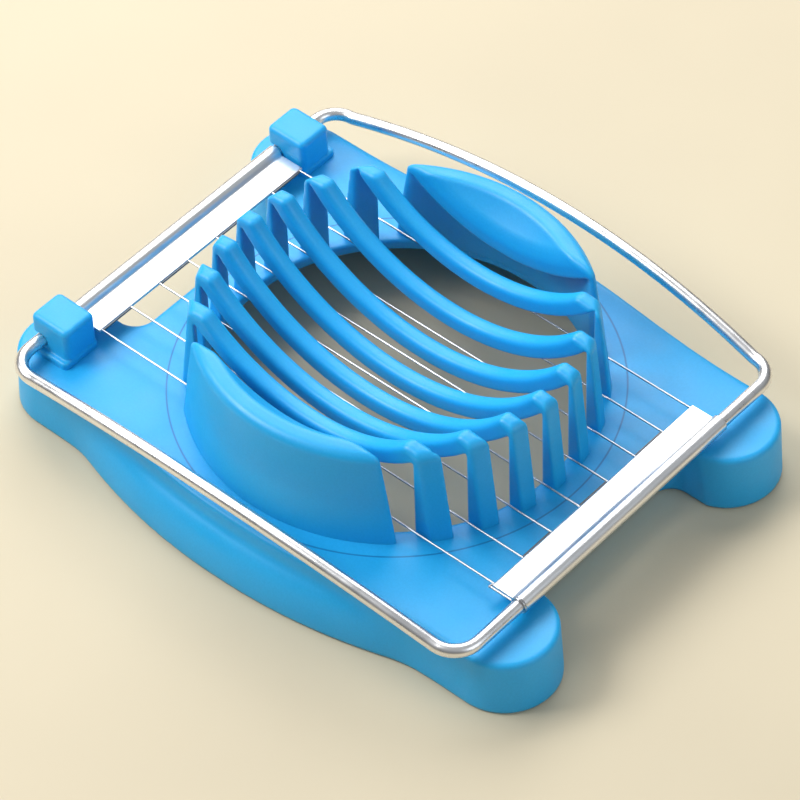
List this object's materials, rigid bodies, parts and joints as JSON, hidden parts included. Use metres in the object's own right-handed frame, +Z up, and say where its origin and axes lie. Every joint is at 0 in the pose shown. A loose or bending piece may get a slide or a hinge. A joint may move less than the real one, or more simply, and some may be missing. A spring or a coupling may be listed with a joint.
{
  "type": "egg slicer",
  "caption": "Hand egg slicer: blue moulded base with a round slatted egg cradle, and a hinged steel rod frame strung with parallel cutting wires.",
  "frame": {"origin": "centre of the round cradle, on the plane the base stands on", "axes": "+X across the slats, +Y along the wires towards the hinge, +Z up"},
  "size_m": [0.094, 0.121, 0.0318],
  "materials": {
    "blue_plastic": "satin moulded",
    "steel_rod": "bright drawn",
    "steel_strip": "bright rolled sheet",
    "steel_wire": "bright drawn"
  },
  "bodies": {
    "base": {"deck_plate": "blue_plastic", "left_front_skirt": "blue_plastic", "left_rear_skirt": "blue_plastic", "right_front_skirt": "blue_plastic", "right_rear_skirt": "blue_plastic", "left_end_block": "blue_plastic", "right_end_block": "blue_plastic", "slat_1": "blue_plastic", "slat_2": "blue_plastic", "slat_3": "blue_plastic", "slat_4": "blue_plastic", "slat_5": "blue_plastic", "slat_6": "blue_plastic", "slat_7": "blue_plastic", "left_hinge_clip": "blue_plastic", "right_hinge_clip": "blue_plastic"},
    "wire_frame": {"bail_rod": "steel_rod", "front_wire_strip": "steel_strip", "rear_wire_strip": "steel_strip", "wire_1": "steel_wire", "wire_2": "steel_wire", "wire_3": "steel_wire", "wire_4": "steel_wire", "wire_5": "steel_wire", "wire_6": "steel_wire", "wire_7": "steel_wire", "wire_8": "steel_wire", "rear_link_1_2": "steel_wire", "front_link_2_3": "steel_wire", "rear_link_3_4": "steel_wire", "front_link_4_5": "steel_wire", "rear_link_5_6": "steel_wire", "front_link_6_7": "steel_wire", "rear_link_7_8": "steel_wire", "wire_tie": "steel_wire"}
  },
  "joints": [
    {"name": "frame_hinge", "type": "hinge", "parent": "base", "child": "wire_frame", "pos_m": [0, 0.0533, 0.0146], "axis": [-1, 0, 0], "range_deg": [0, 180]}
  ]
}
